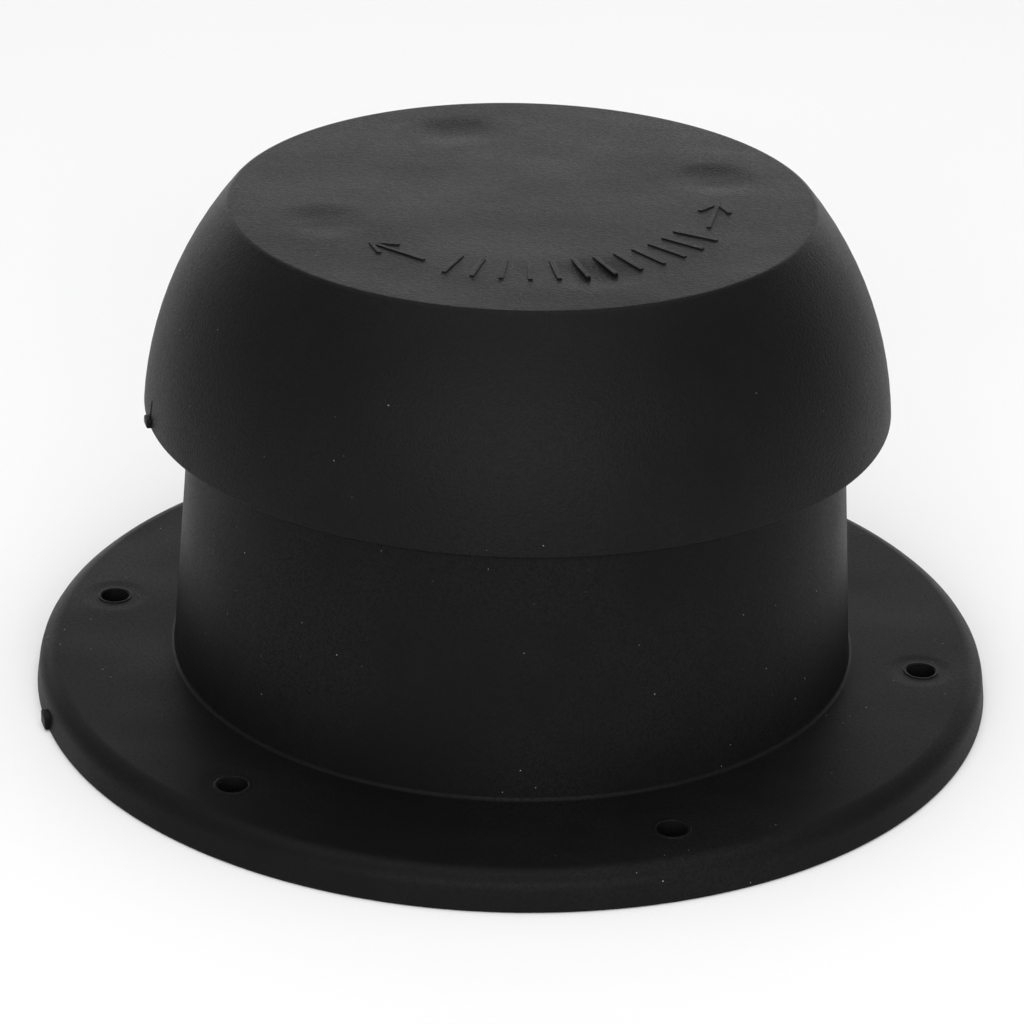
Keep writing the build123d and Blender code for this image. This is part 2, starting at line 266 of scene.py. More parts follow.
def turned(name, outline, closed, steps=ROUND_STEPS):
    """A round piece: a circle drawn through the outline's points, closed or capped."""
    bpy.ops.object.select_all(action="DESELECT")
    before = outline[0] * MM
    bpy.ops.mesh.primitive_circle_add(vertices=steps, radius=before.x, location=(0, 0, before.y))
    piece = new_piece(name)
    bpy.ops.object.mode_set(mode="EDIT")
    bpy.ops.mesh.select_mode(type="EDGE")
    bpy.ops.mesh.select_all(action="SELECT")
    for point in outline[1:] + (outline[:1] if closed else []):
        after = point * MM
        rise = {"value": (0, 0, after.y - before.y)}
        bpy.ops.mesh.extrude_edges_move(TRANSFORM_OT_translate=rise)
        share = after.x / before.x
        bpy.ops.transform.resize(value=(share, share, 1), center_override=(0, 0, after.y))
        before = after
    bpy.ops.mesh.select_all(action="SELECT")
    bpy.ops.mesh.remove_doubles(threshold=0.002 * MM)
    if not closed:
        bpy.ops.mesh.select_all(action="DESELECT")
        bpy.ops.mesh.select_non_manifold(extend=False)
        bpy.ops.mesh.fill_holes(sides=0)
        bpy.ops.mesh.select_all(action="SELECT")
    bpy.ops.mesh.normals_make_consistent(inside=False)
    bpy.ops.object.mode_set(mode="OBJECT")
    return piece


def block(name, low, high):
    """A block between two corners, in millimetres."""
    low, high = Vector(low) * MM, Vector(high) * MM
    bpy.ops.object.select_all(action="DESELECT")
    bpy.ops.mesh.primitive_cube_add(size=1, location=(low + high) / 2, scale=high - low)
    return new_piece(name)


def rod(name, radius, low, high, place=(0, 0), steps=48):
    """An upright round rod between two heights, in millimetres."""
    bpy.ops.object.select_all(action="DESELECT")
    bpy.ops.mesh.primitive_cylinder_add(
        vertices=steps,
        radius=radius * MM,
        depth=(high - low) * MM,
        location=(place[0] * MM, place[1] * MM, (low + high) / 2 * MM),
    )
    return new_piece(name)


def joined(group):
    """Joins pieces into the first one."""
    bpy.ops.object.select_all(action="DESELECT")
    for piece in group:
        piece.select_set(True)
    bpy.context.view_layer.objects.active = group[0]
    bpy.ops.object.join()
    return group[0]


def copies_round(piece, count, first_angle):
    """Copies a piece evenly round the upright axis and joins the copies into one mesh."""
    group = []
    for index in range(count):
        twin = piece.copy()
        twin.data = piece.data.copy()
        bpy.context.scene.collection.objects.link(twin)
        twin.data.transform(Matrix.Rotation(first_angle + index * math.tau / count, 4, "Z"))
        group.append(twin)
    bpy.data.objects.remove(piece, do_unlink=True)
    return joined(group)


def combined(piece, tool, operation):
    """Adds a tool shape to a piece, or cuts it out, and drops the tool."""
    only(piece)
    bpy.ops.object.modifier_add(type="BOOLEAN")
    change = piece.modifiers[-1]
    change.operation = operation
    change.object = tool
    change.solver = "EXACT"
    bpy.ops.object.modifier_apply(modifier=change.name)
    bpy.data.objects.remove(tool, do_unlink=True)


def eased(piece, width, segments=2, angle=40):
    """Breaks a piece's sharp edges with a small round."""
    only(piece)
    bpy.ops.object.modifier_add(type="BEVEL")
    edge = piece.modifiers[-1]
    edge.width = width * MM
    edge.segments = segments
    edge.limit_method = "ANGLE"
    edge.angle_limit = math.radians(angle)
    bpy.ops.object.modifier_apply(modifier=edge.name)


def smoothed(piece, angle=35):
    """Smooth shading, with the flat faces kept flat."""
    only(piece)
    bpy.ops.object.shade_smooth_by_angle(angle=math.radians(angle))
    bpy.ops.object.modifier_add(type="WEIGHTED_NORMAL")
    weights = piece.modifiers[-1]
    weights.keep_sharp = True
    weights.weight = 80
    bpy.ops.object.modifier_apply(modifier=weights.name)


def dressed(piece, material, node=None):
    """Gives a piece its material and hides the CAD node that it stands for, when one is named."""
    piece.data.materials.clear()
    piece.data.materials.append(material)
    if node:
        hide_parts(node)


# ---------------------------------------------------------------- base moulding
def make_base():
    """Flange, collar, deck and neck in one shell, with webs, stops, screw pads and holes."""
    deck_inner = collar_radius(DECK_UNDERSIDE) - COLLAR_WALL
    skirt_inner = collar_radius(FLANGE_UNDERSIDE) - COLLAR_WALL
    corners = [
        (SOCKET_RADIUS, 0, 0.8),
        (NECK_RADIUS, 0, 0.5),
        (NECK_RADIUS, LEDGE_TOP, 1.0),
        (THROAT_RADIUS + NECK_WALL, LEDGE_TOP, 0.6),
        (THROAT_RADIUS + NECK_WALL, DECK_UNDERSIDE, 0.8),
        (deck_inner, DECK_UNDERSIDE, 1.0),
        (skirt_inner, FLANGE_UNDERSIDE, 0.8),
        (LIP_RADIUS, FLANGE_UNDERSIDE, 0.5),
        (LIP_RADIUS, 0, 0.4),
        (FLANGE_RADIUS, 0, 0.4),
        (FLANGE_RADIUS - FLANGE_EDGE_DRAFT, FLANGE_TOP, FLANGE_EDGE),
        (collar_radius(FLANGE_TOP), FLANGE_TOP, 0.6),
        (collar_radius(DECK_HEIGHT), DECK_HEIGHT, 2.0),
        (THROAT_RADIUS, DECK_HEIGHT, 0.8),
        (THROAT_RADIUS, SOCKET_DEPTH, 0.4),
        (SOCKET_RADIUS, SOCKET_DEPTH, 0.4),
    ]
    base = turned("base_shell", rounded(corners, closed=True), closed=True)

    # tapered webs between the neck and the collar
    neck_side = NECK_RADIUS - NECK_WALL / 2
    collar_side = skirt_inner + COLLAR_WALL / 2
    web_top = DECK_UNDERSIDE + SUNK
    web_low = (neck_side, -WEB_HALF, FLANGE_UNDERSIDE)
    web = block("web", web_low, (collar_side, WEB_HALF, web_top))
    bpy.ops.object.mode_set(mode="EDIT")
    pick_vertices(web, lambda at: at.x > 40 * MM and at.z > 20 * MM)
    lean = (collar_radius(web_top) - collar_radius(FLANGE_UNDERSIDE)) * MM
    bpy.ops.transform.translate(value=(lean, 0, 0))
    bpy.ops.mesh.select_all(action="SELECT")
    bpy.ops.mesh.bisect(plane_co=(0, 0, (LEDGE_TOP - SUNK) * MM), plane_no=(0, 0, 1))
    pick_faces(web, lambda at, normal: normal.x < -0.9 and at.z > (LEDGE_TOP - 1) * MM)
    bpy.ops.mesh.extrude_region_move(TRANSFORM_OT_translate={"value": (-WEB_STEP * MM, 0, 0)})
    bpy.ops.object.mode_set(mode="OBJECT")
    combined(base, copies_round(web, WEB_COUNT, WEB_ANGLE), "UNION")

    # turning stops on the deck, midway between the cap's feet
    stop_low = (STOP_INNER, -STOP_HALF, DECK_UNDERSIDE + 1)
    stop = block("stop", stop_low, (STOP_OUTER, STOP_HALF, DECK_HEIGHT + STOP_HEIGHT))
    eased(stop, 0.35)
    combined(base, copies_round(stop, LEG_COUNT, STOP_ANGLE), "UNION")

    # pads under the flange
    place = (SCREW_CIRCLE, 0)
    pad = rod("pad", PAD_RADIUS, 0, FLANGE_UNDERSIDE + 1, place)
    eased(pad, 0.3)
    combined(base, copies_round(pad, SCREW_COUNT, SCREW_ANGLE), "UNION")

    # gate vestige on the flange's edge
    nub = block("nub", (FLANGE_RADIUS - 0.7, -1.5, 0.2), (FLANGE_RADIUS + GATE_SIZE, 1.5, 2.4))
    eased(nub, 0.3, 3)
    nub.data.transform(Matrix.Rotation(BASE_GATE_ANGLE, 4, "Z"))
    combined(base, nub, "UNION")

    hole = rod("hole", HOLE_RADIUS, -1, FLANGE_TOP + 2, place)
    combined(base, copies_round(hole, SCREW_COUNT, SCREW_ANGLE), "DIFFERENCE")
    smoothed(base)
    return base


def make_beads():
    """Low raised beads round the screw holes, on top of the flange."""
    bpy.ops.object.select_all(action="DESELECT")
    bpy.ops.mesh.primitive_torus_add(
        major_segments=64,
        minor_segments=16,
        major_radius=(HOLE_RADIUS + BEAD_RADIUS) * MM,
        minor_radius=BEAD_RADIUS * MM,
        location=(SCREW_CIRCLE * MM, 0, (FLANGE_TOP + BEAD_HEIGHT - BEAD_RADIUS) * MM),
    )
    bead = new_piece("bead")
    bpy.ops.object.mode_set(mode="EDIT")
    pick_vertices(bead, lambda at: at.z > (FLANGE_TOP + BEAD_HEIGHT / 2) * MM)
    bpy.ops.transform.resize(value=(1, 1, 0.85), center_override=(0, 0, FLANGE_TOP * MM))
    bpy.ops.object.mode_set(mode="OBJECT")
    beads = copies_round(bead, SCREW_COUNT, SCREW_ANGLE)
    beads.name = beads.data.name = "hole_beads"
    smoothed(beads, 60)
    return beads


# ---------------------------------------------------------------- cap moulding
def make_cap():
    """Domed skirt with a flat top, four cross-shaped legs with locating tabs, and a screw boss."""
    inside, outside = [], []
    for step in range(CAP_SIDE_STEPS + 1):
        share = step / CAP_SIDE_STEPS
        height = CAP_RIM_HEIGHT + (CAP_CEILING - CAP_RIM_HEIGHT) * share
        inside.append((dome_radius(height, CAP_WALL), height, 0))
        height = CAP_RIM_HEIGHT + (CAP_TOP - CAP_RIM_HEIGHT) * share
        outside.append((dome_radius(height, 0), height, 0))
    inside[0] = (*inside[0][:2], 0.5)
    inside[-1] = (*inside[-1][:2], 1.0)
    outside[0] = (*outside[0][:2], 0.5)
    outside[-1] = (*outside[-1][:2], CAP_EDGE)
    flat = []
    for step in range(1, CAP_TOP_STEPS + 1):
        share = 1 - step / (CAP_TOP_STEPS + 1)
        flat.append(((TOP_RADIUS - CAP_EDGE) * share, CAP_TOP, 0))
    corners = [(1.5, CAP_CEILING, 0)] + inside[::-1] + outside + flat
    cap = turned("cap_shell", rounded(corners, closed=False), closed=False)

    # shallow sinks over the legs
    bpy.ops.object.mode_set(mode="EDIT")
    for index in range(LEG_COUNT):
        angle = LEG_ANGLE + index * math.tau / LEG_COUNT
        spot = Vector((math.cos(angle) * LEG_CIRCLE, math.sin(angle) * LEG_CIRCLE, CAP_TOP)) * MM
        pick_vertices(cap, lambda at: (at - spot).length < SINK_CORE * MM)
        bpy.ops.transform.translate(
            value=(0, 0, -SINK_DEPTH * MM),
            use_proportional_edit=True,
            proportional_edit_falloff="SMOOTH",
            proportional_size=SINK_REACH * MM,
        )
    bpy.ops.object.mode_set(mode="OBJECT")

    # cross-shaped legs, each with a tab that reaches into the throat
    half = LEG_WEB / 2
    leg_low = (LEG_CIRCLE - half, -half, SEAT_HEIGHT)
    leg = block("leg", leg_low, (LEG_CIRCLE + half, half, CAP_CEILING + 1))
    bpy.ops.object.mode_set(mode="EDIT")
    pick_faces(leg, lambda at, normal: abs(normal.z) < 0.5)
    reach = {"value": (LEG_SIZE - LEG_WEB) / 2 * MM}
    bpy.ops.mesh.extrude_faces_move(TRANSFORM_OT_shrink_fatten=reach)
    bpy.ops.object.mode_set(mode="OBJECT")
    eased(leg, 0.3)
    tab = block(
        "tab",
        (TAB_CIRCLE - TAB_WIDTH / 2, -TAB_HALF, TAB_BOTTOM),
        (TAB_CIRCLE + TAB_WIDTH / 2, TAB_HALF, SEAT_HEIGHT + 3),
    )
    eased(tab, 0.25)
    combined(leg, tab, "UNION")
    combined(cap, copies_round(leg, LEG_COUNT, LEG_ANGLE), "UNION")
    boss = rod("boss", BOSS_RADIUS, BOSS_BOTTOM, CAP_CEILING + 1, steps=64)
    eased(boss, 0.6, 3)
    combined(cap, boss, "UNION")

    # gate vestige on the rim
    nub = block("nub", (RIM_RADIUS - 0.5, -1.2, 46.3), (RIM_RADIUS + GATE_SIZE, 1.2, 47.7))
    eased(nub, 0.3, 3)
    nub.data.transform(Matrix.Rotation(CAP_GATE_ANGLE, 4, "Z"))
    combined(cap, nub, "UNION")

    # line of flash above the gate, tapered to its top
    root, tip = dome_radius(FLASH_BOTTOM, 1), dome_radius(FLASH_BOTTOM, -0.2)
    flash = block("flash", (root, -FLASH_HALF, FLASH_BOTTOM), (tip, FLASH_HALF, FLASH_TOP))
    bpy.ops.object.mode_set(mode="EDIT")
    pick_faces(flash, lambda at, normal: normal.z > 0.9)
    bpy.ops.transform.resize(value=(1, 0.3, 1), center_override=(root * MM, 0, FLASH_TOP * MM))
    lean = (dome_radius(FLASH_TOP, -0.05) - tip) * MM
    bpy.ops.transform.translate(value=(lean, 0, 0))
    bpy.ops.object.mode_set(mode="OBJECT")
    flash.data.transform(Matrix.Rotation(FLASH_ANGLE, 4, "Z"))
    combined(cap, flash, "UNION")
    smoothed(cap)
    return cap


def make_marks():
    """Raised arrows each way round the cap, with plain ticks between them."""
    strokes = []
    for index in range(TICK_COUNT):
        tick = block(
            "tick",
            (MARK_RADIUS - TICK_HALF, -MARK_HALF, MARK_LOW),
            (MARK_RADIUS + TICK_HALF, MARK_HALF, MARK_HIGH),
        )
        angle = math.radians(TICK_START + TICK_SPAN * index / (TICK_COUNT - 1))
        tick.data.transform(Matrix.Rotation(angle, 4, "Z"))
        strokes.append(tick)
    for angle, heading in ((-128.5, -1), (-10, 1)):
        shaft = block(
            "shaft",
            (MARK_RADIUS - MARK_HALF, -ARROW_HALF, MARK_LOW),
            (MARK_RADIUS + MARK_HALF, ARROW_HALF, MARK_HIGH),
        )
        point = Vector((MARK_RADIUS, heading * ARROW_HALF, 0)) * MM
        for spread in (-BARB_SPREAD, BARB_SPREAD):
            barb = block("barb", (-MARK_HALF, 0, MARK_LOW), (MARK_HALF, BARB_LENGTH, MARK_HIGH))
            if heading > 0:
                barb.data.transform(Matrix.Rotation(math.pi, 4, "Z"))
            barb.data.transform(Matrix.Rotation(math.radians(spread), 4, "Z"))
            barb.data.transform(Matrix.Translation(point))
            combined(shaft, barb, "UNION")
        shaft.data.transform(Matrix.Rotation(math.radians(angle), 4, "Z"))
        strokes.append(shaft)
    marks = joined(strokes)
    marks.name = marks.data.name = "turn_marks"
    eased(marks, 0.14, 3)
    smoothed(marks)
    return marks


# ---------------------------------------------------------------- small pieces
def make_gasket():
    """Foam ring under the flange, cut out round the screw pads."""
    outer = LIP_RADIUS - GASKET_GAP
    inner = outer - GASKET_WIDTH
    corners = [
        (inner, GASKET_LIFT, 0.5),
        (outer, GASKET_LIFT, 0.5),
        (outer, FLANGE_UNDERSIDE, 0.2),
        (inner, FLANGE_UNDERSIDE, 0.2),
    ]
    gasket = turned("foam_gasket", rounded(corners, closed=True), closed=True)
    hole = rod("hole", PAD_RADIUS + GASKET_GAP, -1, FLANGE_UNDERSIDE + 1, (SCREW_CIRCLE, 0))
    combined(gasket, copies_round(hole, SCREW_COUNT, SCREW_ANGLE), "DIFFERENCE")
    smoothed(gasket)
    return gasket


def make_crossbar():
    """Pin across the throat, with rounded ends."""
    half = THROAT_RADIUS + NECK_WALL
    pin = rod("crossbar_pin", CROSSBAR_RADIUS, -half, half)
    pin.data.transform(Matrix.Rotation(math.pi / 2, 4, "Y"))
    pin.data.transform(Matrix.Translation((0, 0, CROSSBAR_HEIGHT * MM)))
    eased(pin, 0.35, 3)
    smoothed(pin)
    return pin


def make_spring():
    """Tension spring in one wire: hook round the crossbar, coil, and ring round the screw."""
    route = []
    for step in range(19):
        angle = math.radians(90 - step * 10)
        reach, drop = HOOK_RADIUS * math.sin(angle), HOOK_RADIUS * math.cos(angle)
        route.append((0, reach, HOOK_CENTRE - drop))
    for step in range(1, 8):
        share = step / 8
        angle = -math.pi / 2 + share * math.pi / 2
        reach = HOOK_RADIUS + (COIL_RADIUS - HOOK_RADIUS) * share
        rise = HOOK_CENTRE + (COIL_BOTTOM - HOOK_CENTRE) * math.sin(share * math.pi / 2)
        route.append((reach * math.cos(angle), reach * math.sin(angle), rise))
    turn_steps = 32
    for step in range(COIL_TURNS * turn_steps + 1):
        angle = step * math.tau / turn_steps
        rise = COIL_BOTTOM + (COIL_TOP - COIL_BOTTOM) * step / (COIL_TURNS * turn_steps)
        route.append((COIL_RADIUS * math.cos(angle), COIL_RADIUS * math.sin(angle), rise))
    for step in range(1, 45):
        angle = step * math.tau / turn_steps
        share = min(1, angle / math.pi)
        reach = COIL_RADIUS + (RING_RADIUS - COIL_RADIUS) * share
        rise = COIL_TOP + (RING_HEIGHT - COIL_TOP) * share
        route.append((reach * math.cos(angle), reach * math.sin(angle), rise))
    curve = bpy.data.curves.new("spring_wire", "CURVE")
    curve.dimensions = "3D"
    curve.bevel_depth = WIRE_RADIUS * MM
    curve.bevel_resolution = 3
    curve.use_fill_caps = True
    wire = curve.splines.new("POLY")
    wire.points.add(len(route) - 1)
    for point, place in zip(wire.points, route):
        point.co = (*(Vector(place) * MM), 1)
    spring = bpy.data.objects.new("spring_coil", curve)
    bpy.context.scene.collection.objects.link(spring)
    only(spring)
    bpy.ops.object.convert(target="MESH")
    spring = bpy.context.active_object
    round_count = len(spring.data.vertices) // len(route)
    for index, place in enumerate(route):
        height = place[2]
        share = min(1, max(0, min(height - COIL_BOTTOM, COIL_TOP - height) / 5))
        flattening = 1 + (WIRE_FLATTENING - 1) * share
        for vertex in spring.data.vertices[index * round_count:(index + 1) * round_count]:
            vertex.co.z = height * MM + (vertex.co.z - height * MM) * flattening
    smoothed(spring, 60)
    return spring


def make_screw():
    """Pan head screw with a cross recess and a coarse thread."""
    corners = [
        (0.3, HEAD_BOTTOM, 0),
        (HEAD_RADIUS, HEAD_BOTTOM, 0.9),
        (HEAD_RADIUS, WASHER_BOTTOM, 0.2),
        (THREAD_ROOT, WASHER_BOTTOM, 0),
    ]
    for turn in range(THREAD_TURNS):
        start = THREAD_START + turn * THREAD_PITCH
        corners.append((THREAD_ROOT, start, 0))
        corners.append((THREAD_CREST, start + THREAD_PITCH / 2, 0))
    corners += [(THREAD_ROOT, SHANK_TOP, 0), (0.3, TIP_HEIGHT, 0)]
    screw = turned("cap_screw", rounded(corners, closed=False), closed=False, steps=64)
    for east, north in ((RECESS_REACH, RECESS_HALF), (RECESS_HALF, RECESS_REACH)):
        slot_top = (east, north, HEAD_BOTTOM + RECESS_DEPTH)
        slot = block("slot", (-east, -north, HEAD_BOTTOM - 1), slot_top)
        combined(screw, slot, "DIFFERENCE")
    smoothed(screw)
    return screw


def make_washer():
    """Flat washer between the screw's head and the spring's ring."""
    top = WASHER_BOTTOM + WASHER_THICKNESS
    corners = [
        (WASHER_HOLE, WASHER_BOTTOM, 0.15),
        (WASHER_RADIUS, WASHER_BOTTOM, 0.2),
        (WASHER_RADIUS, top, 0.2),
        (WASHER_HOLE, top, 0.15),
    ]
    washer = turned("ring_washer", rounded(corners, closed=True), closed=True, steps=96)
    smoothed(washer)
    return washer


# ---------------------------------------------------------------- shader groups
def new_group(name, inputs, outputs):
    """A shader node group with named sockets; gives the group, its nodes and its ends."""
    group = bpy.data.node_groups.new(name, "ShaderNodeTree")
    for label, kind, value in inputs:
        socket = group.interface.new_socket(label, in_out="INPUT", socket_type=kind)
        if value is not None:
            socket.default_value = value
    for label, kind in outputs:
        group.interface.new_socket(label, in_out="OUTPUT", socket_type=kind)
    return group, group.nodes.new("NodeGroupInput"), group.nodes.new("NodeGroupOutput")


def math_node(tree, operation, first, second=None, third=None):
    """A Math node fed by sockets or numbers; gives its result."""
    node = tree.nodes.new("ShaderNodeMath")
    node.operation = operation
    for index, value in enumerate((first, second, third)):
        if value is None:
            continue
        if isinstance(value, (int, float)):
            node.inputs[index].default_value = value
        else:
            tree.links.new(value, node.inputs[index])
    return node.outputs["Value"]


def hypotenuse(tree, first, second):
    """Square root of the sum of two squares."""
    squares = [math_node(tree, "POWER", value, 2) for value in (first, second)]
    return math_node(tree, "SQRT", math_node(tree, "ADD", *squares))


def noise_node(tree, vector, scale, detail, roughness=0.5):
    """A noise texture; gives its value."""
    node = tree.nodes.new("ShaderNodeTexNoise")
    tree.links.new(vector, node.inputs["Vector"])
    for label, value in (("Scale", scale), ("Detail", detail), ("Roughness", roughness)):
        if isinstance(value, (int, float)):
            node.inputs[label].default_value = value
        else:
            tree.links.new(value, node.inputs[label])
    return node.outputs["Fac"]


def ramp_node(tree, value, low, high):
    """Stretches a value between two levels to 0 and 1."""
    node = tree.nodes.new("ShaderNodeMapRange")
    node.interpolation_type = "SMOOTHSTEP"
    tree.links.new(value, node.inputs["Value"])
    node.inputs["From Min"].default_value = low
    node.inputs["From Max"].default_value = high
    return node.outputs["Result"]


def make_grain_group():
    """Fine spark-eroded mould grain: a height and a mask of its pits."""
    group, ins, outs = new_group(
        "mould_grain",
        [("Vector", "NodeSocketVector", None), ("Grain Scale", "NodeSocketFloat", 4200.0)],
        [("Height", "NodeSocketFloat"), ("Pits", "NodeSocketFloat")],
    )
    vector, scale = ins.outputs["Vector"], ins.outputs["Grain Scale"]
    fine = noise_node(group, vector, scale, 1.5, 0.6)
    coarse = noise_node(group, vector, math_node(group, "MULTIPLY", scale, 0.45), 1.0)
    both = math_node(group, "MULTIPLY_ADD", coarse, 0.35, math_node(group, "MULTIPLY", fine, 0.65))
    group.links.new(both, outs.inputs["Height"])
    group.links.new(ramp_node(group, both, 0.56, 0.4), outs.inputs["Pits"])
    return group


def make_dust_group():
    """Sparse pale dust specks: a mask."""
    group, ins, outs = new_group(
        "dust_specks",
        [
            ("Vector", "NodeSocketVector", None),
            ("Cell Scale", "NodeSocketFloat", 790.0),
            ("Speck Size", "NodeSocketFloat", 0.09),
            ("Share", "NodeSocketFloat", 0.08),
        ],
        [("Mask", "NodeSocketFloat")],
    )
    cells = group.nodes.new("ShaderNodeTexVoronoi")
    cells.feature = "F1"
    group.links.new(ins.outputs["Vector"], cells.inputs["Vector"])
    group.links.new(ins.outputs["Cell Scale"], cells.inputs["Scale"])
    split = group.nodes.new("ShaderNodeSeparateColor")
    group.links.new(cells.outputs["Color"], split.inputs["Color"])
    chosen = math_node(group, "LESS_THAN", split.outputs["Red"], ins.outputs["Share"])
    size = math_node(group, "MULTIPLY", ins.outputs["Speck Size"], split.outputs["Green"])
    inside = math_node(group, "LESS_THAN", cells.outputs["Distance"], size)
    group.links.new(math_node(group, "MULTIPLY", chosen, inside), outs.inputs["Mask"])
    return group


def make_flow_group():
    """Slow mottling left by the flow of the plastic: a value about one half, and a broad swell."""
    group, ins, outs = new_group(
        "flow_mottle",
        [("Vector", "NodeSocketVector", None), ("Patch Scale", "NodeSocketFloat", 38.0)],
        [("Value", "NodeSocketFloat"), ("Swell", "NodeSocketFloat")],
    )
    vector, scale = ins.outputs["Vector"], ins.outputs["Patch Scale"]
    broad = noise_node(group, vector, scale, 1.0, 0.4)
    stretch = group.nodes.new("ShaderNodeMapping")
    stretch.inputs["Rotation"].default_value = (0, 0, 0.5)
    stretch.inputs["Scale"].default_value = (1, 1.8, 1)
    group.links.new(vector, stretch.inputs["Vector"])
    cloud_scale = math_node(group, "MULTIPLY", scale, 2.7)
    clouds = noise_node(group, stretch.outputs["Vector"], cloud_scale, 2.5)
    group.links.new(broad, outs.inputs["Swell"])
    group.links.new(
        math_node(group, "MULTIPLY_ADD", clouds, 0.45, math_node(group, "MULTIPLY", broad, 0.55)),
        outs.inputs["Value"],
    )
    return group


def make_dish_group():
    """Shallow round dishes, evenly spaced on a circle round the upright axis: a height."""
    group, ins, outs = new_group(
        "dish_ring",
        [
            ("Vector", "NodeSocketVector", None),
            ("Sector", "NodeSocketFloat", math.tau / SCREW_COUNT),
            ("Start", "NodeSocketFloat", SCREW_ANGLE),
            ("Circle", "NodeSocketFloat", SCREW_CIRCLE * MM),
            ("Inner", "NodeSocketFloat", DISH_INNER * MM),
            ("Outer", "NodeSocketFloat", DISH_OUTER * MM),
        ],
        [("Height", "NodeSocketFloat")],
    )
    parts = group.nodes.new("ShaderNodeSeparateXYZ")
    group.links.new(ins.outputs["Vector"], parts.inputs["Vector"])
    east, north = parts.outputs["X"], parts.outputs["Y"]
    angle = math_node(group, "ARCTAN2", north, east)
    turned_back = math_node(group, "SUBTRACT", angle, ins.outputs["Start"])
    sector = ins.outputs["Sector"]
    whole = math_node(group, "ROUND", math_node(group, "DIVIDE", turned_back, sector))
    folded = math_node(group, "SUBTRACT", turned_back, math_node(group, "MULTIPLY", whole, sector))
    radius = hypotenuse(group, east, north)
    along = math_node(group, "MULTIPLY", radius, math_node(group, "COSINE", folded))
    off = math_node(group, "SUBTRACT", along, ins.outputs["Circle"])
    across = math_node(group, "MULTIPLY", radius, math_node(group, "SINE", folded))
    node = group.nodes.new("ShaderNodeMapRange")
    node.interpolation_type = "SMOOTHSTEP"
    group.links.new(hypotenuse(group, off, across), node.inputs["Value"])
    group.links.new(ins.outputs["Inner"], node.inputs["From Min"])
    group.links.new(ins.outputs["Outer"], node.inputs["From Max"])
    group.links.new(node.outputs["Result"], outs.inputs["Height"])
    return group


DUST_COLOUR = (0.17, 0.17, 0.165)
GRAIN, DUST, FLOW = make_grain_group(), make_dust_group(), make_flow_group()
DISHES = make_dish_group()


def placed_group(tree, group, vector, **values):
    """Puts a group into a material and sets its inputs."""
    node = tree.nodes.new("ShaderNodeGroup")
    node.node_tree = group
    tree.links.new(vector, node.inputs["Vector"])
    for label, value in values.items():
        node.inputs[label.replace("_", " ")].default_value = value
    return node


def new_material(name):
    """A new material; gives it, its tree, its shader and its Object coordinates."""
    material = bpy.data.materials.new(name)
    material.use_nodes = True
    tree = material.node_tree
    shader = tree.nodes["Principled BSDF"]
    place = tree.nodes.new("ShaderNodeTexCoord").outputs["Object"]
    return material, tree, shader, place


def mixed_colour(tree, share, first, second):
    """Mixes two colours by a value; each is a colour or a socket."""
    node = tree.nodes.new("ShaderNodeMix")
    node.data_type = "RGBA"
    tree.links.new(share, node.inputs["Factor"])
    for socket, value in ((node.inputs[6], first), (node.inputs[7], second)):
        if isinstance(value, tuple):
            socket.default_value = (*value, 1)
        else:
            tree.links.new(value, socket)
    return node.outputs[2]


def bump(tree, height, distance, strength=1.0, normal=None):
    """A Bump node fed by a height; distance in millimetres."""
    node = tree.nodes.new("ShaderNodeBump")
    node.inputs["Strength"].default_value = strength
    node.inputs["Distance"].default_value = distance * MM
    tree.links.new(height, node.inputs["Height"])
    if normal:
        tree.links.new(normal, node.inputs["Normal"])
    return node.outputs["Normal"]


def black_plastic(name, dark, pale, grain_depth, gloss, dust_share, dish_depth):
    """Matt black moulded plastic: grain, mottling, dishes round the screw holes, and dust."""
    material, tree, shader, place = new_material(name)
    grain = placed_group(tree, GRAIN, place)
    flow = placed_group(tree, FLOW, place)
    dust = placed_group(tree, DUST, place, Share=dust_share)
    mottled = mixed_colour(tree, ramp_node(tree, flow.outputs["Value"], 0.36, 0.66), dark, pale)
    pitted = mixed_colour(tree, grain.outputs["Pits"], mottled, tuple(0.84 * part for part in dark))
    settled = ramp_node(tree, flow.outputs["Value"], 0.49, 0.54)
    clustered = math_node(tree, "MULTIPLY", dust.outputs["Mask"], settled)
    dusted = mixed_colour(tree, clustered, pitted, DUST_COLOUR)
    tree.links.new(dusted, shader.inputs["Base Color"])
    base_roughness = math_node(tree, "MULTIPLY_ADD", flow.outputs["Value"], 0.2, 0.34)
    tree.links.new(
        math_node(tree, "MULTIPLY_ADD", grain.outputs["Pits"], 0.08, base_roughness),
        shader.inputs["Roughness"],
    )
    dished = None
    if dish_depth:
        dishes = placed_group(tree, DISHES, place)
        dished = bump(tree, dishes.outputs["Height"], dish_depth)
    waves = bump(tree, flow.outputs["Swell"], 0.8, 1.0, dished)
    fine = bump(tree, grain.outputs["Height"], grain_depth, 1.0, waves)
    tree.links.new(fine, shader.inputs["Normal"])
    shader.inputs["Specular IOR Level"].default_value = gloss
    shader.inputs["IOR"].default_value = 1.49
    return material


